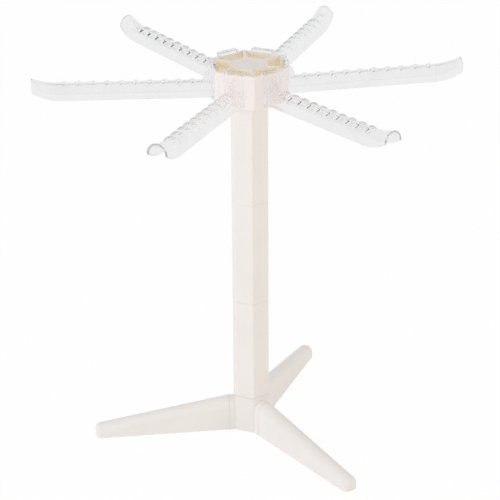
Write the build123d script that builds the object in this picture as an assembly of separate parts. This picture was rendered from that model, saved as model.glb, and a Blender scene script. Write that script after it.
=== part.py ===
from build123d import *
import math
import os

# Knock-down drying rack for fresh pasta, in millimetres.
# +Z is up. The origin is on the post's axis, on the surface that the rack stands on.
# One drying arm points along +X and one leg along -X.

# Counts and directions
arm_count = 6
leg_count = 3
section_count = 3
rib_count = 10
arm_angles = [360 / arm_count * k for k in range(arm_count)]
leg_angles = [180 + 360 / leg_count * k for k in range(leg_count)]
arm_names = ["right", "back_right", "back_left", "left", "front_left", "front_right"]
leg_names = ["left", "front_right", "back_right"]
section_names = ["lower", "middle", "upper"]
corner_count = 6
corner_angle = 180 / corner_count

# Post: hollow hexagonal sections with flats facing the arms
section_pitch = 100.0
post_flats = 31.6
post_wall = 2.5
post_corner_radius = 2.2
bore_corner_radius = 1.0
seam_chamfer = 0.4
shoulder_thickness = 3.0

# Spigot that carries the next piece up
spigot_height = 12.0
spigot_wall = 2.2
spigot_gap = 0.15
spigot_lead = 0.8

# Base
base_height = 37.0
base_roof = 5.0
base_core_radius = 6.0

# Legs: tapering arches, open below
leg_reach = 150.0
leg_seam_reach = 22.0
leg_root_width = 17.0
leg_root_height = 32.5
leg_tip_width = 14.8
leg_tip_height = 11.5
leg_wall = 2.0
leg_tip_radius = 5.0
tenon_length = 11.5
tenon_width = 9.0
tenon_low = 6.0
tenon_height = 20.0
tenon_gap = 0.15
tenon_end_gap = 0.6
tenon_chamfer = 0.8

# Hub that the arms hang on
hub_flats = 64.0
hub_height = 32.0
hub_wall = 2.0
hub_floor = 2.0
hub_corner_radius = 2.5
hub_lower_radius = 1.6
hub_rim_radius = 0.5
hub_skirt = 2.0
skirt_gap = 0.3
column_flats = 31.4
column_roof = 2.5
web_thickness = 2.4
socket_end_gap = 1.0

# Arms: clear arches with ribs across the crown
arm_reach = 191.0
arm_width = 18.0
arm_height = 13.3
arm_wall = 1.8
arm_tilt = 1.6
bend_reach = 165.0
crown_rise_radius = 88.0
lower_edge_rise = 8.5
rib_height = 1.4
rib_width = 6.0
rib_drop = 65.0
first_rib_reach = 50.0
rib_pitch = 12.5

# Root plate and hook of an arm
plate_thickness = 2.3
plate_width = 18.0
plate_rise = 3.3
channel_rise = 2.0
hook_width = 20.0
hook_thickness = 3.2
hook_edge_radius = 0.8
lug_thickness = 2.0
lug_width = 15.0
lug_depth = 12.0
lug_taper = 1.0
wall_gap = 0.1
gusset_reach = 6.5
gusset_height = 9.0
gusset_thickness = 2.4

# How far a cut runs past the solid that it cuts
overrun = 5.0

# Heights and sizes that follow from the ones above
bore_flats = post_flats - 2 * post_wall
spigot_flats = bore_flats - 2 * spigot_gap
spigot_bore_flats = spigot_flats - 2 * spigot_wall
spigot_corner_radius = bore_corner_radius + spigot_gap
post_top = base_height + section_count * section_pitch
hub_low = post_top - hub_skirt
rim = hub_low + hub_height
hub_face = hub_flats / 2
plate_inner = hub_face + wall_gap
plate_outer = plate_inner + plate_thickness
lug_outer = hub_face - hub_wall - wall_gap
lug_inner = lug_outer - lug_thickness
plate_low = hub_low + plate_rise
arm_low = plate_low + channel_rise
tilt_radians = math.radians(arm_tilt)


def hexagon(flats, corner_radius):
    outline = RegularPolygon(flats / 2, corner_count, major_radius=False, rotation=corner_angle)
    return fillet(outline.vertices(), corner_radius)


def hexagon_prism(flats, corner_radius, low, high):
    return Pos(0, 0, low) * extrude(hexagon(flats, corner_radius), high - low)


def arch_face(reach, width, low, crown):
    # A rectangle with a half-round top, square to the X axis
    half = width / 2
    spring = crown - half
    outline = [
        Line((-half, low), (half, low)),
        Line((half, low), (half, spring)),
        ThreePointArc((half, spring), (0, crown), (-half, spring)),
        Line((-half, spring), (-half, low)),
    ]
    across = Plane((reach, 0, 0), x_dir=(0, 1, 0), z_dir=(1, 0, 0))
    return across * make_face(outline)


def block(near, far, width, low, high):
    # A box from one reach to another, centred on the XZ plane
    return Pos((near + far) / 2, 0, (low + high) / 2) * Box(far - near, width, high - low)


def spigot(shoulder):
    outer = hexagon_prism(spigot_flats, spigot_corner_radius, shoulder, shoulder + spigot_height)
    return chamfer(outer.edges().group_by(Axis.Z)[-1], spigot_lead)


def spigot_bore(low, high):
    return hexagon_prism(spigot_bore_flats, bore_corner_radius, low, high)


def post_section():
    # Stands on z = 0 before it is moved up to its place
    body = hexagon_prism(post_flats, post_corner_radius, 0, section_pitch)
    rims = body.edges().group_by(Axis.Z)
    body = chamfer(rims[0] + rims[-1], seam_chamfer)
    body += spigot(section_pitch)
    body -= hexagon_prism(bore_flats, bore_corner_radius, -overrun, section_pitch - shoulder_thickness)
    body -= spigot_bore(0, section_pitch + spigot_height + overrun)
    return body


def leg_size(reach):
    # Width and height of the leg's outside at one reach
    share = (reach - leg_seam_reach) / (leg_reach - leg_seam_reach)
    width = leg_root_width + share * (leg_tip_width - leg_root_width)
    height = leg_root_height + share * (leg_tip_height - leg_root_height)
    return width, height


def tenon(gap):
    # With a gap it is the cutter for the socket
    near = leg_seam_reach - tenon_length - (tenon_end_gap if gap else 0)
    far = leg_seam_reach + leg_wall
    solid = block(near, far, tenon_width + 2 * gap, tenon_low - gap, tenon_low + tenon_height + gap)
    return chamfer(solid.faces().sort_by(Axis.X)[0].edges(), tenon_chamfer)


def leg():
    # Points along +X before it is turned to its place
    root = arch_face(leg_seam_reach, leg_root_width, 0, leg_root_height)
    tip = arch_face(leg_reach, leg_tip_width, 0, leg_tip_height)
    body = loft([root, tip], ruled=True)
    end_edges = body.faces().sort_by(Axis.X)[-1].edges().sort_by(Axis.Z)[1:]
    body = fillet(end_edges, leg_tip_radius)
    cavity_faces = []
    for reach in (leg_seam_reach + leg_wall, leg_reach - 2 * leg_wall):
        width, height = leg_size(reach)
        cavity_faces.append(arch_face(reach, width - 2 * leg_wall, -overrun, height - leg_wall))
    body -= loft(cavity_faces, ruled=True)
    return body + tenon(0)


def base_hub():
    body = hexagon_prism(post_flats, post_corner_radius, 0, base_height)
    body = chamfer(body.edges().group_by(Axis.Z)[-1], seam_chamfer)
    stub = extrude(arch_face(0, leg_root_width, 0, leg_root_height), leg_seam_reach)
    for angle in leg_angles:
        body += Rot(0, 0, angle) * stub
    body += spigot(base_height)
    body -= spigot_bore(base_height - base_roof, base_height + spigot_height + overrun)
    socket_top = tenon_low + tenon_height
    body -= Pos(0, 0, -overrun) * extrude(Circle(base_core_radius), overrun + socket_top)
    for angle in leg_angles:
        body -= Rot(0, 0, angle) * tenon(tenon_gap)
    return body


def arm_hub():
    shell = hexagon_prism(hub_flats, hub_corner_radius, hub_low, rim)
    shell = fillet(shell.edges().group_by(Axis.Z)[0], hub_lower_radius)
    shell = fillet(shell.edges().group_by(Axis.Z)[-1], hub_rim_radius)
    inner_flats = hub_flats - 2 * hub_wall
    floor_top = hub_low + hub_skirt + hub_floor
    body = shell - hexagon_prism(inner_flats, hub_corner_radius, floor_top, rim + overrun)
    body += hexagon_prism(column_flats, post_corner_radius, hub_low, rim)
    web_end = inner_flats / 2 / math.cos(math.radians(corner_angle))
    web = block(0, web_end, web_thickness, floor_top - hub_floor, rim)
    for angle in arm_angles:
        body += Rot(0, 0, angle + corner_angle) * web
    recess_flats = post_flats + 2 * skirt_gap
    body -= hexagon_prism(recess_flats, post_corner_radius, hub_low - overrun, post_top)
    socket_top = post_top + spigot_height + socket_end_gap
    body -= hexagon_prism(bore_flats, bore_corner_radius, hub_low, socket_top)
    body -= spigot_bore(hub_low, rim - column_roof)
    return body


def arm_path():
    # Lower centre line of the channel in the XZ plane: straight, then curving up
    start = (plate_inner + plate_thickness / 2, arm_low)
    run = bend_reach - start[0]
    bend = (bend_reach, arm_low + run * math.tan(tilt_radians))
    direction = (math.cos(tilt_radians), math.sin(tilt_radians))
    turn = math.degrees(math.asin((arm_reach + overrun - bend_reach) / crown_rise_radius))
    curve = Line(start, bend) + JernArc(bend, direction, crown_rise_radius, turn)
    return Plane.XZ * curve, start, bend, direction


def arm_section(start, inset, below):
    # Arch profile square to the path at its start
    half = arm_width / 2 - inset
    crown = arm_height - inset
    spring = arm_height - arm_width / 2
    outline = [
        Line((-half, -below), (half, -below)),
        Line((half, -below), (half, spring)),
        ThreePointArc((half, spring), (0, crown), (-half, spring)),
        Line((-half, spring), (-half, -below)),
    ]
    square = Plane((start[0], 0, start[1]), x_dir=(0, 1, 0),
                   z_dir=(math.cos(tilt_radians), 0, math.sin(tilt_radians)))
    return square * make_face(outline)


def rib_disc():
    # A disc with a domed rim that stands proud of the crown and dies out on the sides.
    # Its axis is X and its centre is the origin.
    flank = math.radians(rib_drop)
    base_radius = arm_width / 2
    top = base_radius + rib_height
    side = base_radius * math.sin(flank)
    level = base_radius * math.cos(flank)
    lift = (top ** 2 - side ** 2 - level ** 2) / (2 * (top - level))
    radius = top - lift
    half = rib_width / 2
    shoulder = radius - rib_height
    outline = [
        Line((-half, 0), (half, 0)),
        Line((half, 0), (half, shoulder)),
        ThreePointArc((half, shoulder), (0, radius), (-half, shoulder)),
        Line((-half, shoulder), (-half, 0)),
    ]
    profile = Plane.XZ * make_face(outline)
    return Pos(0, 0, lift) * revolve(profile, Axis.X)


def hook():
    # Plate on the hub's face, bridge over its rim and lug inside the pocket
    bridge_top = rim + hook_thickness
    plate = block(plate_inner, plate_outer, plate_width, plate_low, bridge_top)
    bridge = block(lug_inner, plate_outer, hook_width, rim, bridge_top)
    bridge = fillet(bridge.faces().sort_by(Axis.Z)[-1].edges(), hook_edge_radius)
    lug_low = rim - lug_depth
    lug_outline = Polyline(
        (lug_inner, rim), (lug_outer, rim), (lug_outer, lug_low),
        (lug_inner + lug_taper, lug_low), (lug_inner, lug_low + lug_taper), close=True,
    )
    lug = extrude(Plane.XZ * make_face(lug_outline), lug_width / 2, both=True)
    return plate + bridge + lug


def gusset():
    # Rounded web between the plate and the crown of the arm
    crown = arm_low + arm_height
    outline = [
        Line((plate_inner, crown - arm_wall), (plate_outer + gusset_reach, crown - arm_wall)),
        Line((plate_outer + gusset_reach, crown - arm_wall), (plate_outer + gusset_reach, crown)),
        EllipticalCenterArc((plate_outer, crown), gusset_reach, gusset_height, start_angle=0, arc_size=90),
        Line((plate_outer, crown + gusset_height), (plate_inner, crown + gusset_height)),
        Line((plate_inner, crown + gusset_height), (plate_inner, crown - arm_wall)),
    ]
    return extrude(Plane.XZ * make_face(outline), gusset_thickness / 2, both=True)


def arm():
    # Points along +X before it is turned to its place
    path, start, bend, direction = arm_path()
    body = sweep(arm_section(start, 0, 0), path)
    axis_height = arm_height - arm_width / 2
    for k in range(rib_count):
        reach = first_rib_reach + k * rib_pitch
        low = arm_low + (reach - start[0]) * math.tan(tilt_radians)
        body += Pos(reach, 0, low + axis_height) * (Rot(0, -arm_tilt, 0) * rib_disc())
    body -= sweep(arm_section(start, arm_wall, arm_width), path)
    end_low = bend[1] + lower_edge_rise
    far = arm_reach + overrun
    under = bend[1] - arm_height
    lower_edge = TangentArc(bend, (arm_reach, end_low), tangent=direction)
    trim_outline = [
        lower_edge,
        Line((arm_reach, end_low), (far, end_low)),
        Line((far, end_low), (far, under)),
        Line((far, under), (bend[0], under)),
        Line((bend[0], under), bend),
    ]
    body -= extrude(Plane.XZ * make_face(trim_outline), arm_width, both=True)
    body -= block(arm_reach, arm_reach + 2 * arm_width, 2 * arm_width, under, end_low + 2 * arm_height)
    body += gusset()
    return body + hook()


def save(name, shape):
    export_step(shape, f"parts/{name}.step")


os.makedirs("parts", exist_ok=True)

save("base_hub", base_hub())

leg_shape = leg()
for name, angle in zip(leg_names, leg_angles):
    save(f"leg_{name}", Rot(0, 0, angle) * leg_shape)

section_shape = post_section()
for k, name in enumerate(section_names):
    save(f"post_{name}", Pos(0, 0, base_height + k * section_pitch) * section_shape)

save("arm_hub", arm_hub())

arm_shape = arm()
for name, angle in zip(arm_names, arm_angles):
    save(f"arm_{name}", Rot(0, 0, angle) * arm_shape)
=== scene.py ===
import math

import bmesh
import bpy
from mathutils import Matrix, Vector


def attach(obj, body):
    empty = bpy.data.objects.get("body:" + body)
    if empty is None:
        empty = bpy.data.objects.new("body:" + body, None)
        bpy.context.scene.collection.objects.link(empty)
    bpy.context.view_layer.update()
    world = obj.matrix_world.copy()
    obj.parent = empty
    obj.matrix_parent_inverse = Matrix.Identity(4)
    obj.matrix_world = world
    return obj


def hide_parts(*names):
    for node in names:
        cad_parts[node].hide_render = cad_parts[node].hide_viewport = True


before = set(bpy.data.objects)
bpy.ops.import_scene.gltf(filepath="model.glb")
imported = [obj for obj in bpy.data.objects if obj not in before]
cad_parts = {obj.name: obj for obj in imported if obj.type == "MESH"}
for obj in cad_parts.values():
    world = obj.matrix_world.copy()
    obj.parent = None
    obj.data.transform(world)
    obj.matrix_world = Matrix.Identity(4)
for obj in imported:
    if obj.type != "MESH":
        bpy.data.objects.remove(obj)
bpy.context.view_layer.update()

scene = bpy.context.scene

# Sizes are in millimetres, as in the part's source, and a reach is a distance from the post's axis
MM = 0.001

# Base and post: the seams between their pieces, each with a line of painted shade. The post's are given by
# height and by how dark their painted shade is.
BASE_SEAM = 37.0
POST_SEAMS = ((BASE_SEAM, 0.35), (137.0, 0.08), (237.0, 0.05))
# How dark the painted shade is on the base's seams
BASE_SEAM_PAINTED_SHADE = 0.35
SEAM_HALF_WIDTH = 0.55
LEG_SEAM_REACH = 22.0
LEG_SEAM_HALF_WIDTH = 0.45
LEG_ANGLES = (180, 300, 60)

# Hub: its rim, and the outer wall and floor of its pockets. The painted warm light and painted glow in them,
# standing in for light that the thin walls let through and that bounces inside, start below the rim and are
# full further down.
HUB_RIM = 367.0
POCKET_REACH = 31.0
POCKET_FLOOR = 338.0
POCKET_PAINTED_LIGHT_START = 0.3
POCKET_PAINTED_LIGHT_FULL = 14.0
POCKET_PAINTED_LIGHT_BLEND = 0.4
POCKET_PAINTED_LIGHT_SHARE = 0.9

# Clear arms: the channel, which runs out at a slight tilt and then turns up
ARM_ANGLES = {
    "right": 0, "back_right": 60, "back_left": 120, "left": 180, "front_left": 240, "front_right": 300,
}
ARM_ROOT = 33.25
ARM_LOW = 340.3
ARM_BEND = 165.0
ARM_REACH = 191.0
ARM_TILT = math.radians(1.6)
ARM_WIDTH = 18.0
ARM_HEIGHT = 13.3
ARM_WALL = 1.8
CROWN_RISE_RADIUS = 88.0
LOWER_EDGE_RISE = 8.5
ARCH_STEPS = 36
SHARP_ANGLE = math.radians(32)

# Clear arms: the ribs. A rib meets the channel's sides at its foot angle from the crown's top.
RIB_COUNT = 10
FIRST_RIB_REACH = 50.0
RIB_PITCH = 12.5
RIB_WIDTH = 6.0
RIB_HEIGHT = 1.4
RIB_FOOT_ANGLE = math.radians(65)
RIB_FILLET = 0.22
RIB_END_BLEND = 0.5
OUTER_SKIN = 0.4

# Clear arms: the hook over the hub's wall. Plate and lug are given by their inner and outer reach.
PLATE = (32.1, 34.4)
PLATE_LOW = 338.3
PLATE_BELOW_TOP = 0.6
PLATE_WIDTH = 18.2
HOOK_TOP = 370.2
BRIDGE_WIDTH = 20.0
LUG = (27.9, 29.9)
LUG_LOW = 355.0
LUG_WIDTH = 15.0
LUG_TAPER = 1.0
LUG_OVERLAP = 1.0
GUSSET_REACH = 6.5
GUSSET_HEIGHT = 9.0
GUSSET_THICKNESS = 2.4
GUSSET_STEPS = 12

# Rounding of the edges: width and number of segments
CHANNEL_EDGE = (0.3, 2)
PLATE_EDGE = (0.3, 2)
BRIDGE_EDGE = (0.6, 3)
LUG_EDGE = (0.25, 2)
GUSSET_EDGE = (0.2, 2)
ROUNDED_ANGLE = math.radians(50)

# Colours of the cream pieces, each as the light and the shaded tone of the moulding
POST_TONES = (0.905, 0.862, 0.812), (0.890, 0.845, 0.790)
HUB_TONES = (0.912, 0.855, 0.818), (0.897, 0.838, 0.797)
# The base's and legs' tones are a little darker than the post's: painted shade, for the dimmer light low down
# near the floor
BASE_TONES = (0.882, 0.848, 0.806), (0.866, 0.829, 0.785)
# Painted shade along the seams between pieces, a warm brown
JOINT_PAINTED_SHADE = (0.50, 0.36, 0.24)
# Painted warm light in the hub's pockets, and a painted glow though they are no lamp, for light through their
# thin walls
POCKET_PAINTED_WARM_LIGHT = (0.985, 0.957, 0.81)
POCKET_PAINTED_GLOW = (1.0, 0.98, 0.74)
POCKET_PAINTED_GLOW_STRENGTH = 0.045

# Colours of the clear arms and the studio
CLEAR_TONE = (0.995, 0.995, 0.995)
HAZE_TONE = (0.965, 0.965, 0.97)
CLEAR_BODY = (0.42, 0.47, 0.52)
CLEAR_BODY_DENSITY = 3.5
WHITE = (1, 1, 1)
PAPER_TONE = (0.97, 0.97, 0.97)

# Noise patterns: scale per metre, detail and roughness
FLOW_CLOUDS = (26.0, 3.0, 0.5)
SATIN_GRAIN = (2600.0, 2.0, 0.6)
SCUFFS = (210.0, 5.0, 0.7)
FLOW_WAVES = (95.0, 2.0, 0.5)
HANDLING_HAZE = (40.0, 4.0, 0.6)
SPECKS = (900.0, 3.0, 0.7)

# Brightness of the sky as a light, and of sky and floor in the clear arms, a little under the white behind them
SKY_LEVEL = 0.68
SEEN_IN_PLASTIC = 0.87

# Floor: how much of it glows where it is seen directly, the rest being paper in the lamps' light
FLOOR_GLOW_SHARE = 0.96
FLOOR_HALF_SIZE = 6000.0
FLOOR_HEIGHT = -0.2

# Lamps: place in metres, power in watts and colour
LAMPS = {
    "window_left": ((-2.08, -0.85, 0.9), 17.6, (0.92, 0.93, 1.0)),
    "window_right": ((1.86, -1.27, 0.9), 10.4, (1.0, 0.875, 0.775)),
}
LAMP_TARGET = (0, 0, 0.2)
LAMP_SIZE = 1.2

# The photograph's view, from a fit to the rack's corners: angles in degrees, target and distance in metres, and
# focal length and shift in pixels of the photograph
VIEW_AZIMUTH = -7.321
VIEW_ELEVATION = 25.351
VIEW_ROLL = -0.390
VIEW_TARGET = (0, 0, 0.187144)
VIEW_DISTANCE = 1.6557
PHOTO_WIDTH = 500
FOCAL_LENGTH = 1795.7
VIEW_SHIFT = (-0.21, -1.82)
SENSOR_WIDTH = 36.0

# Light passes many walls on its way through the arms
CLEAR_BOUNCES = 40


class Quantity:
    """A node's socket that takes part in Python sums. Each sum adds its Math node."""

    def __init__(self, sheet, socket):
        self.sheet = sheet
        self.socket = socket

    def math(self, operation, *others):
        return self.sheet.node("ShaderNodeMath", {"operation": operation}, dict(enumerate((self, *others))))

    def __add__(self, other):
        return self.math("ADD", other)

    def __sub__(self, other):
        return self.math("SUBTRACT", other)

    def __mul__(self, other):
        return self.math("MULTIPLY", other)

    def __truediv__(self, other):
        return self.math("DIVIDE", other)

    def __pow__(self, other):
        return self.math("POWER", other)

    def __rsub__(self, other):
        return self.sheet.node("ShaderNodeMath", {"operation": "SUBTRACT"}, {0: other, 1: self})

    __radd__ = __add__
    __rmul__ = __mul__

    def sqrt(self):
        return self.math("SQRT")

    def absolute(self):
        return self.math("ABSOLUTE")

    def at_least(self, other):
        return self.math("MAXIMUM", other)

    def at_most(self, other):
        return self.math("MINIMUM", other)

    def over(self, limit):
        """1 above the limit, 0 up to it."""
        return self.math("GREATER_THAN", limit)

    def ramp(self, start, end):
        """0 before start, 1 after end, smooth in between. Start may be the larger."""
        return self.sheet.node(
            "ShaderNodeMapRange", {"interpolation_type": "SMOOTHSTEP"},
            {"Value": self, "From Min": start, "From Max": end, "To Min": 0.0, "To Max": 1.0})


class Sheet:
    """A node tree."""

    def __init__(self, tree):
        self.tree = tree
        self.tree.nodes.clear()

    def node(self, kind, settings=None, sockets=None, out=0):
        """Adds a node, its settings first, and returns its first output or those that are asked for."""
        made = self.tree.nodes.new(kind)
        for name, value in (settings or {}).items():
            setattr(made, name, value)
        for key, value in (sockets or {}).items():
            if isinstance(value, Quantity):
                self.tree.links.new(value.socket, made.inputs[key])
            else:
                made.inputs[key].default_value = value
        if not made.outputs:
            return made
        if isinstance(out, tuple):
            return [Quantity(self, made.outputs[name]) for name in out]
        return Quantity(self, made.outputs[out])

    def axes(self, place):
        """The three coordinates of a place or direction."""
        return self.node("ShaderNodeSeparateXYZ", {}, {0: place}, out=("X", "Y", "Z"))

    def noise(self, where, pattern):
        scale, detail, roughness = pattern
        return self.node("ShaderNodeTexNoise", {}, {
            "Vector": where, "Scale": scale, "Detail": detail, "Roughness": roughness})

    def mix(self, share, first, second):
        """Two colours blended by a share from 0 to 1."""
        return self.node("ShaderNodeMix", {"data_type": "RGBA"}, {"Factor": share, 6: first, 7: second}, out=2)


def rgb(red, green, blue):
    return (red, green, blue, 1.0)


def new_material(name):
    material = bpy.data.materials.new(name)
    material.use_nodes = True
    return material, Sheet(material.node_tree)


# Finishes

def satin_plastic(name, seed, tones, joints=None, painted_pocket_light=None):
    """Moulded cream plastic: faint flow clouds, a fine satin grain, small scuffs, painted shade along its
    seams, and in its pockets painted warm light and a painted glow.
    """
    material, s = new_material(name)
    light, shade = tones
    place = s.node("ShaderNodeTexCoord", out="Object")
    moved = s.node("ShaderNodeMapping", {}, {
        "Vector": place, "Location": (seed * 0.37, seed * 0.21, seed * 0.13)})
    clouds = s.noise(moved, FLOW_CLOUDS)
    grain = s.noise(moved, SATIN_GRAIN)
    scuffs = s.noise(moved, SCUFFS)
    tone = s.mix(clouds.ramp(0.3, 0.7), rgb(*shade), rgb(*light))
    if joints is not None:
        # Painted shade along the seams where pieces meet
        tone = s.mix(joints(s, place), tone, rgb(*JOINT_PAINTED_SHADE))
    glow = rgb(0, 0, 0)
    if painted_pocket_light is not None:
        # Painted warm light deep in the pockets, for light through the thin walls and bouncing inside them
        painted_pocket_share = painted_pocket_light(s, place)
        tone = s.mix(painted_pocket_share, tone, rgb(*POCKET_PAINTED_WARM_LIGHT))
        # Painted glow, though the pocket is no lamp, for what little light the thin walls let through from
        # outside
        glow = s.mix(painted_pocket_share, glow, rgb(*POCKET_PAINTED_GLOW))
    gloss = 0.40 + clouds * 0.10 - scuffs.ramp(0.62, 0.78) * 0.12 + grain * 0.04
    relief = grain * 0.35 + clouds * 0.65 + scuffs * 0.2
    normal = s.node("ShaderNodeBump", {}, {"Strength": 0.22, "Distance": 0.09 * MM, "Height": relief})
    skin = s.node("ShaderNodeBsdfPrincipled", {}, {
        "Base Color": tone, "Roughness": gloss, "Normal": normal, "IOR": 1.48,
        "Subsurface Weight": 0.06, "Subsurface Radius": (0.004, 0.003, 0.0018), "Subsurface Scale": 1.0,
        "Emission Color": glow, "Emission Strength": POCKET_PAINTED_GLOW_STRENGTH if painted_pocket_light else 0.0,
    })
    s.node("ShaderNodeOutputMaterial", {}, {"Surface": skin})
    return material


def joint_line(across, place, half_width=SEAM_HALF_WIDTH):
    """1 on the joint between two pieces, 0 from half_width away."""
    return (across - place * MM).absolute().ramp(half_width * MM, 0.0)


def post_joint_painted_shade(s, place):
    """Painted shade at the post's foot, and fainter lines of painted shade where its sections meet."""
    height = s.axes(place)[2]
    foot, *sections = [joint_line(height, seam) * shade for seam, shade in POST_SEAMS]
    return sum(sections, foot)


def base_joint_painted_shade(s, place):
    """Lines of painted shade where the post stands on the base, and where each leg plugs onto its stub."""
    x, y, z = s.axes(place)
    lines = joint_line(z, BASE_SEAM)
    for angle in LEG_ANGLES:
        reach = x * math.cos(math.radians(angle)) + y * math.sin(math.radians(angle))
        lines = lines + joint_line(reach, LEG_SEAM_REACH, LEG_SEAM_HALF_WIDTH)
    return lines * BASE_SEAM_PAINTED_SHADE


def pocket_painted_light_mask(s, place):
    """0 outside the hub and on its rim, up to the painted light's share deep inside its pockets."""
    x, y, z = s.axes(place)
    reach = x.absolute()
    for angle in (60, 120):
        direction = math.radians(angle)
        reach = reach.at_least((x * math.cos(direction) + y * math.sin(direction)).absolute())
    inside = reach.ramp((POCKET_REACH + POCKET_PAINTED_LIGHT_BLEND) * MM, (POCKET_REACH - POCKET_PAINTED_LIGHT_BLEND) * MM)
    deep = z.ramp((HUB_RIM - POCKET_PAINTED_LIGHT_START) * MM, (HUB_RIM - POCKET_PAINTED_LIGHT_FULL) * MM)
    above_floor = z.ramp((POCKET_FLOOR - POCKET_PAINTED_LIGHT_BLEND) * MM, (POCKET_FLOOR + POCKET_PAINTED_LIGHT_BLEND) * MM)
    return inside * deep * above_floor * POCKET_PAINTED_LIGHT_SHARE


def clear_plastic():
    """Clear glossy plastic with faint flow waves, handling haze and a slight grey body."""
    material, s = new_material("clear_arm_plastic")
    place = s.node("ShaderNodeTexCoord", out="Object")
    waves = s.noise(place, FLOW_WAVES)
    haze = s.noise(place, HANDLING_HAZE)
    specks = s.noise(place, SPECKS)
    tone = s.mix(haze.ramp(0.35, 0.75), rgb(*CLEAR_TONE), rgb(*HAZE_TONE))
    gloss = 0.06 + haze.ramp(0.45, 0.8) * 0.05 + specks.ramp(0.62, 0.75) * 0.04
    normal = s.node("ShaderNodeBump", {}, {"Strength": 0.15, "Distance": 0.3 * MM, "Height": waves})
    skin = s.node("ShaderNodeBsdfPrincipled", {}, {
        "Base Color": tone, "Roughness": gloss, "Normal": normal, "IOR": 1.5, "Transmission Weight": 1.0,
    })
    # Light that the cream pieces scatter goes straight through, so that they aren't dark behind the plates
    straight = s.node("ShaderNodeBsdfTransparent", {}, {"Color": rgb(*WHITE)})
    scattered = s.node("ShaderNodeLightPath", out="Is Diffuse Ray")
    skin = s.node("ShaderNodeMixShader", {}, {0: scattered, 1: skin, 2: straight})
    body = s.node("ShaderNodeVolumeAbsorption", {}, {"Color": rgb(*CLEAR_BODY), "Density": CLEAR_BODY_DENSITY})
    s.node("ShaderNodeOutputMaterial", {}, {"Surface": skin, "Volume": body})
    return material


# Meshes

def mesh_from(name, points, faces):
    """An object with this mesh, its faces turned outwards."""
    mesh = bpy.data.meshes.new(name)
    mesh.from_pydata([(x * MM, y * MM, z * MM) for x, y, z in points], [], faces)
    mesh.update()
    made = bmesh.new()
    made.from_mesh(mesh)
    bmesh.ops.recalc_face_normals(made, faces=made.faces)
    made.to_mesh(mesh)
    made.free()
    piece = bpy.data.objects.new(name, mesh)
    scene.collection.objects.link(piece)
    return piece


def baked(piece):
    """The piece with its modifiers worked into its mesh."""
    graph = bpy.context.evaluated_depsgraph_get()
    mesh = bpy.data.meshes.new_from_object(piece.evaluated_get(graph))
    piece.modifiers.clear()
    piece.data = mesh
    return piece


def soften(piece, edge):
    """The piece with its sharp edges rounded."""
    width, segments = edge
    bevel = piece.modifiers.new("edge", "BEVEL")
    bevel.width = width * MM
    bevel.segments = segments
    bevel.limit_method = "ANGLE"
    bevel.angle_limit = ROUNDED_ANGLE
    return baked(piece)


def box_outline(near, far, low, high):
    return [(near, low), (far, low), (far, high), (near, high)]


def side_plate(name, outline, width):
    """A solid cut from flat stock: an outline in reach and height, as thick as width across the arm."""
    points = [(x, side * width / 2, z) for side in (-1, 1) for x, z in outline]
    count = len(outline)
    faces = [tuple(range(count)), tuple(range(2 * count - 1, count - 1, -1))]
    faces += [(k, (k + 1) % count, count + (k + 1) % count, count + k) for k in range(count)]
    return mesh_from(name, points, faces)


# Clear arms

def arm_path_height(reach, above):
    """Height, at one reach, of the line that runs this far above the arm's lower path."""
    if reach <= ARM_BEND:
        return ARM_LOW + (reach - ARM_ROOT) * math.tan(ARM_TILT) + above / math.cos(ARM_TILT)
    bend_height = ARM_LOW + (ARM_BEND - ARM_ROOT) * math.tan(ARM_TILT)
    centre_reach = ARM_BEND - CROWN_RISE_RADIUS * math.sin(ARM_TILT)
    centre_height = bend_height + CROWN_RISE_RADIUS * math.cos(ARM_TILT)
    return centre_height - math.sqrt((CROWN_RISE_RADIUS - above) ** 2 - (reach - centre_reach) ** 2)


def arm_foot_height(reach):
    """Height of the arm's lower edge, which turns up more sharply than its crown."""
    if reach <= ARM_BEND:
        return arm_path_height(reach, 0)
    run, rise = ARM_REACH - ARM_BEND, LOWER_EDGE_RISE
    half_turn = math.atan2(rise, run) - ARM_TILT
    radius = math.hypot(run, rise) / 2 / math.sin(half_turn)
    centre_reach = ARM_BEND - radius * math.sin(ARM_TILT)
    centre_height = arm_path_height(ARM_BEND, 0) + radius * math.cos(ARM_TILT)
    return centre_height - math.sqrt(radius ** 2 - (reach - centre_reach) ** 2)


def arm_stations():
    """Reaches at which the channel has a cross-section, close together under the ribs."""
    root = [33.0, 36.0, 40.0, 44.0]
    start, end, count = 46.0, 167.0, 300
    ribbed = [start + (end - start) * k / count for k in range(count + 1)]
    rise = [169.0 + 1.75 * k for k in range(12)]
    return root + ribbed + rise + [189.6, ARM_REACH]


def arch_line(reach, half_width):
    """Points of an arch from one foot over the crown to the other, at one reach."""
    spring = ARM_HEIGHT - ARM_WIDTH / 2
    foot = arm_foot_height(reach)
    line = [(reach, -half_width, foot)]
    for k in range(ARCH_STEPS + 1):
        turn = math.pi * (k / ARCH_STEPS - 0.5)
        above = spring + half_width * math.cos(turn)
        line.append((reach, half_width * math.sin(turn), arm_path_height(reach, above)))
    return line + [(reach, half_width, foot)]


def arm_channel():
    """The inverted channel of one arm, along +X, closed at both ends, without its ribs."""
    points, faces = [], []
    stations = arm_stations()
    for reach in stations:
        points += arch_line(reach, ARM_WIDTH / 2)
        points += reversed(arch_line(reach, ARM_WIDTH / 2 - ARM_WALL))
    ring = 2 * (ARCH_STEPS + 3)
    for station in range(len(stations) - 1):
        for k in range(ring):
            a, b = station * ring + k, station * ring + (k + 1) % ring
            faces.append((a, b, b + ring, a + ring))
    for start in (0, (len(stations) - 1) * ring):
        for k in range(ring // 2 - 1):
            a, b = start + k, start + k + 1
            c, d = start + ring - 2 - k, start + ring - 1 - k
            faces.append((a, b, c, d))
    return mesh_from("arm_channel", points, faces)


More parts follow.
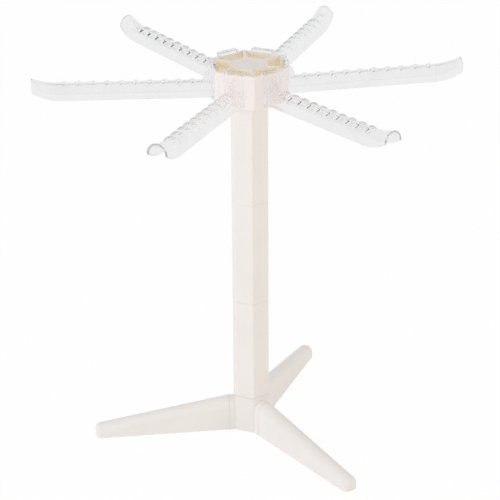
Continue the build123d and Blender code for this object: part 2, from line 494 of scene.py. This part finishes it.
def gusset_outline():
    """The rounded gusset between the arm's crown, which it sinks into a little, and the root plate."""
    crown = ARM_LOW + ARM_HEIGHT
    inner, foot, shoulder = PLATE[0] + 0.8, crown - 1.2, crown + 0.1
    outline = [(inner, foot), (PLATE[1] + GUSSET_REACH, foot)]
    for k in range(GUSSET_STEPS + 1):
        turn = math.pi / 2 * k / GUSSET_STEPS
        outline.append((PLATE[1] + GUSSET_REACH * math.cos(turn), shoulder + GUSSET_HEIGHT * math.sin(turn)))
    return outline + [(inner, shoulder + GUSSET_HEIGHT)]


def hook_parts():
    """Root plate, bridge over the hub's wall, lug in the pocket and rounded gusset of one arm."""
    # So far apart, no two faces of plate, bridge and lug lie in one plane
    apart = 0.04
    plate = box_outline(PLATE[0], PLATE[1] - apart, PLATE_LOW, HOOK_TOP - PLATE_BELOW_TOP)
    bridge = box_outline(LUG[0], PLATE[1], HUB_RIM, HOOK_TOP)
    near, far, high = LUG[0] + apart, LUG[1], HUB_RIM + LUG_OVERLAP
    lug = [(near, high), (far, high), (far, LUG_LOW), (near + LUG_TAPER, LUG_LOW), (near, LUG_LOW + LUG_TAPER)]
    return [
        soften(side_plate("root_plate", plate, PLATE_WIDTH), PLATE_EDGE),
        soften(side_plate("hook_bridge", bridge, BRIDGE_WIDTH), BRIDGE_EDGE),
        soften(side_plate("hook_lug", lug, LUG_WIDTH), LUG_EDGE),
        soften(side_plate("root_gusset", gusset_outline(), GUSSET_THICKNESS), GUSSET_EDGE),
    ]


def ribbed_arm_tree():
    """Geometry Nodes: raises half-round ribs on a channel's crown, then fuses the hook's parts to it."""
    tree = bpy.data.node_groups.new("ribs_on_arm_crown", "GeometryNodeTree")
    wanted = [
        ("Channel", "NodeSocketGeometry"), ("Hook parts", "NodeSocketCollection"),
        ("Plastic", "NodeSocketMaterial"), ("Rib count", "NodeSocketInt"),
        ("First rib reach", "NodeSocketFloat"), ("Rib pitch", "NodeSocketFloat"),
        ("Rib width", "NodeSocketFloat"), ("Rib height", "NodeSocketFloat"), ("Rib drop", "NodeSocketFloat"),
        ("Crown radius", "NodeSocketFloat"), ("Axis reach", "NodeSocketFloat"),
        ("Axis height", "NodeSocketFloat"), ("Tilt", "NodeSocketFloat"),
    ]
    for name, kind in wanted:
        tree.interface.new_socket(name, in_out="INPUT", socket_type=kind)
    tree.interface.new_socket("Arm", in_out="OUTPUT", socket_type="NodeSocketGeometry")
    g = Sheet(tree)
    (channel, parts, plastic, count, first, pitch, width, height, drop, crown, axis_reach, axis_height,
     tilt) = g.node("NodeGroupInput", out=tuple(name for name, kind in wanted))
    slope_sine, slope_cosine = tilt.math("SINE"), tilt.math("COSINE")
    # Each point along and above the tilted axis of the crown, and its distance from that axis
    x, y, z = g.axes(g.node("GeometryNodeInputPosition"))
    out_reach, up = x - axis_reach, z - axis_height
    along = out_reach * slope_cosine + up * slope_sine
    above = up * slope_cosine - out_reach * slope_sine
    spread = (y * y + above * above).sqrt()
    # Distance from the nearest rib's middle
    place = (along * slope_cosine + axis_reach - first) / pitch
    nearest = place.math("ROUND").at_least(0.0).at_most(count - 1)
    offset = (place - nearest) * pitch
    # A rib is a disc with a domed rim whose centre stands above the crown's own centre
    top = crown + height
    side, level = crown * drop.math("SINE"), crown * drop.math("COSINE")
    lift = (top * top - side * side - level * level) / ((top - level) * 2)
    half = width / 2
    dome = (half * half + height * height) / (height * 2)
    fall = dome - (dome * dome - (offset * offset).at_most(half * half)).sqrt()
    disc = top - lift - fall
    sideways = y / spread
    reach_of_disc = lift * above / spread + (disc * disc - (lift * sideways) ** 2).at_least(0.0).sqrt()
    # Only the outer skin of the arch is raised, with a fillet at the rib's foot
    fillet = RIB_FILLET * MM
    raised = reach_of_disc.math("SMOOTH_MAX", crown, fillet) - crown - fillet / 6
    on_rib = (offset.absolute() - half).ramp(RIB_END_BLEND * MM, 0.0)
    on_rib = on_rib * spread.over(crown - OUTER_SKIN * MM) * above.over(0.0)
    move = raised.at_least(0.0) * on_rib
    unit_up = above / spread
    shift = g.node("ShaderNodeCombineXYZ", {}, {
        "X": -1 * move * unit_up * slope_sine, "Y": move * sideways, "Z": move * unit_up * slope_cosine})
    ribbed = g.node("GeometryNodeSetPosition", {}, {"Geometry": channel, "Offset": shift})
    hook = g.node("GeometryNodeCollectionInfo", {}, {0: parts})
    hook = g.node("GeometryNodeRealizeInstances", {}, {0: hook})
    arm = g.node("GeometryNodeMeshBoolean", {"operation": "UNION", "solver": "EXACT"}, {1: ribbed})
    tree.links.new(hook.socket, arm.socket.node.inputs[1])
    arm.socket.node.inputs["Self Intersection"].default_value = True
    whole = g.node("GeometryNodeRealizeInstances", {}, {0: arm})
    dressed = g.node("GeometryNodeSetMaterial", {}, {"Geometry": whole, "Material": plastic})
    g.node("NodeGroupOutput", {}, {"Arm": dressed})
    return tree


def set_inputs(modifier, values):
    """Sets a Geometry Nodes modifier's inputs by their names."""
    for item in modifier.node_group.interface.items_tree:
        if item.item_type == "SOCKET" and item.in_out == "INPUT" and item.name in values:
            modifier[item.identifier] = values[item.name]


def ribbed_arm(plastic):
    """One whole arm along +X as a plain mesh."""
    channel = soften(arm_channel(), CHANNEL_EDGE)
    parts = bpy.data.collections.new("hook_parts")
    loose = hook_parts()
    for part in loose:
        scene.collection.objects.unlink(part)
        parts.objects.link(part)
    modifier = channel.modifiers.new("ribs", "NODES")
    modifier.node_group = ribbed_arm_tree()
    set_inputs(modifier, {
        "Hook parts": parts, "Plastic": plastic,
        "Rib count": RIB_COUNT, "First rib reach": FIRST_RIB_REACH * MM, "Rib pitch": RIB_PITCH * MM,
        "Rib width": RIB_WIDTH * MM, "Rib height": RIB_HEIGHT * MM, "Rib drop": RIB_FOOT_ANGLE,
        "Crown radius": ARM_WIDTH / 2 * MM, "Axis reach": ARM_ROOT * MM,
        "Axis height": (ARM_LOW + ARM_HEIGHT - ARM_WIDTH / 2) * MM, "Tilt": ARM_TILT,
    })
    mesh = baked(channel).data
    for part in loose:
        bpy.data.objects.remove(part)
    bpy.data.objects.remove(channel)
    mesh.polygons.foreach_set("use_smooth", [True] * len(mesh.polygons))
    mesh.set_sharp_from_angle(angle=SHARP_ANGLE)
    return mesh


def hang_arms(plastic):
    """Six copies of one arm, each in the place of its solid. Clear arms cast no shadow worth showing."""
    pattern = ribbed_arm(plastic)
    for side, angle in ARM_ANGLES.items():
        mesh = pattern.copy()
        mesh.transform(Matrix.Rotation(math.radians(angle), 4, "Z"))
        piece = bpy.data.objects.new(f"clear_arm_{side}", mesh)
        scene.collection.objects.link(piece)
        piece.visible_shadow = False
        node = f"arm_{side}"
        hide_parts(node)
        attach(piece, node)


# Cream pieces

def dress_cream_pieces():
    post = satin_plastic("post_satin", 1, POST_TONES, joints=post_joint_painted_shade)
    hub = satin_plastic("hub_satin", 2, HUB_TONES, painted_pocket_light=pocket_painted_light_mask)
    base = satin_plastic("base_satin", 3, BASE_TONES, joints=base_joint_painted_shade)
    for name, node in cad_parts.items():
        if name == "arm_hub":
            finish = hub
        elif name.startswith("arm_"):
            continue
        else:
            finish = post if name.startswith("post_") else base
        node.data.materials.clear()
        node.data.materials.append(finish)


# Studio

def seen_directly(s):
    """1 for what the camera sees, straight or by mirroring and clear surfaces, and 0 for light on a surface.

    The second value is 1 only for what it sees straight.
    """
    camera, mirrored, through, scattered = s.node("ShaderNodeLightPath", out=(
        "Is Camera Ray", "Is Glossy Ray", "Is Transmission Ray", "Diffuse Depth"))
    return camera.at_least(mirrored).at_least(through) * (1 - scattered.over(0.5)), camera


def pale_floor():
    material, s = new_material("pale_floor")
    paper = s.node("ShaderNodeBsdfDiffuse", {}, {"Color": rgb(*PAPER_TONE)})
    direct, camera = seen_directly(s)
    level = SEEN_IN_PLASTIC + camera * (1 - SEEN_IN_PLASTIC)
    glow = s.node("ShaderNodeEmission", {}, {"Color": rgb(*WHITE), "Strength": level})
    surface = s.node("ShaderNodeMixShader", {}, {0: direct * FLOOR_GLOW_SHARE, 1: paper, 2: glow})
    s.node("ShaderNodeOutputMaterial", {}, {"Surface": surface})
    corners = [(-1, -1), (1, -1), (1, 1), (-1, 1)]
    points = [(x * FLOOR_HALF_SIZE, y * FLOOR_HALF_SIZE, FLOOR_HEIGHT) for x, y in corners]
    floor = mesh_from("floor", points, [(0, 1, 2, 3)])
    floor.data.materials.append(material)


def dark_gap(s, direction):
    """1 in a dark gap high at the back of the studio, between backdrop and ceiling, and 0 elsewhere.

    The ribs' shoulders pick it up as short slanting marks. It slopes down on both sides of its top, for the
    back left and front right arms. Further right it runs level, for the left and right arms.
    """
    x, y, z = s.axes(direction)
    top_x, top_z, slope = -0.32, 0.72, 0.45
    half_width, edge = 0.022, 0.012
    middle = top_z - (x - top_x).absolute() * slope
    sloping = (z - middle).absolute().ramp(half_width + edge, half_width)
    sloping = sloping * x.ramp(-0.80, -0.78) * x.ramp(0.20, 0.17) * y.ramp(0.0, 0.05)
    level = z.ramp(0.66, 0.68) * z.ramp(0.75, 0.73) * x.ramp(0.06, 0.10) * y.ramp(0.05, 0.15)
    return sloping.at_least(level)


def studio_world():
    world = bpy.data.worlds.new("studio")
    world.use_nodes = True
    scene.world = world
    s = Sheet(world.node_tree)
    gap = dark_gap(s, s.node("ShaderNodeTexCoord", out="Generated"))
    direct, camera = seen_directly(s)
    mirrored = SEEN_IN_PLASTIC - gap * SEEN_IN_PLASTIC
    mirrored = mirrored + (1 - mirrored) * camera
    level = SKY_LEVEL + (mirrored - SKY_LEVEL) * direct
    sky = s.node("ShaderNodeBackground", {}, {"Color": rgb(*WHITE), "Strength": level})
    s.node("ShaderNodeOutputWorld", {}, {"Surface": sky})


def soft_lamp(name, place, power, colour):
    """A large soft lamp that isn't itself seen in clear or mirroring surfaces."""
    light = bpy.data.lights.new(name, "AREA")
    light.shape = "SQUARE"
    light.size = LAMP_SIZE
    light.energy = power
    light.color = colour
    holder = bpy.data.objects.new(name, light)
    scene.collection.objects.link(holder)
    holder.location = place
    holder.rotation_euler = (Vector(LAMP_TARGET) - Vector(place)).to_track_quat("-Z", "Y").to_euler()
    holder.visible_transmission = False
    holder.visible_glossy = False


def photo_camera():
    """The photograph's place, turn and lens."""
    azimuth, elevation = math.radians(VIEW_AZIMUTH), math.radians(VIEW_ELEVATION)
    roll = math.radians(VIEW_ROLL)
    back = Vector((math.sin(azimuth) * math.cos(elevation), -math.cos(azimuth) * math.cos(elevation),
                   math.sin(elevation)))
    level_right = Vector((math.cos(azimuth), math.sin(azimuth), 0))
    level_up = back.cross(level_right)
    right = level_right * math.cos(roll) + level_up * math.sin(roll)
    up = level_up * math.cos(roll) - level_right * math.sin(roll)
    eye = Vector(VIEW_TARGET) + back * VIEW_DISTANCE
    data = bpy.data.cameras.new("photo_camera")
    data.sensor_width = SENSOR_WIDTH
    data.lens = FOCAL_LENGTH / PHOTO_WIDTH * SENSOR_WIDTH
    data.shift_x = VIEW_SHIFT[0] / PHOTO_WIDTH
    data.shift_y = VIEW_SHIFT[1] / PHOTO_WIDTH
    data.clip_end = 50
    camera = bpy.data.objects.new("photo_camera", data)
    scene.collection.objects.link(camera)
    turn = Matrix((right, up, back)).transposed().to_4x4()
    camera.matrix_world = Matrix.Translation(eye) @ turn
    scene.camera = camera


scene.view_settings.view_transform = "Standard"
scene.cycles.max_bounces = CLEAR_BOUNCES
scene.cycles.transmission_bounces = CLEAR_BOUNCES
scene.cycles.glossy_bounces = CLEAR_BOUNCES
scene.cycles.diffuse_bounces = 16
scene.cycles.transparent_max_bounces = 32
scene.cycles.sample_clamp_indirect = 2.0
scene.cycles.caustics_reflective = False
scene.cycles.caustics_refractive = False
dress_cream_pieces()
hang_arms(clear_plastic())
pale_floor()
studio_world()
for lamp_name, (place, power, colour) in LAMPS.items():
    soft_lamp(lamp_name, place, power, colour)
photo_camera()
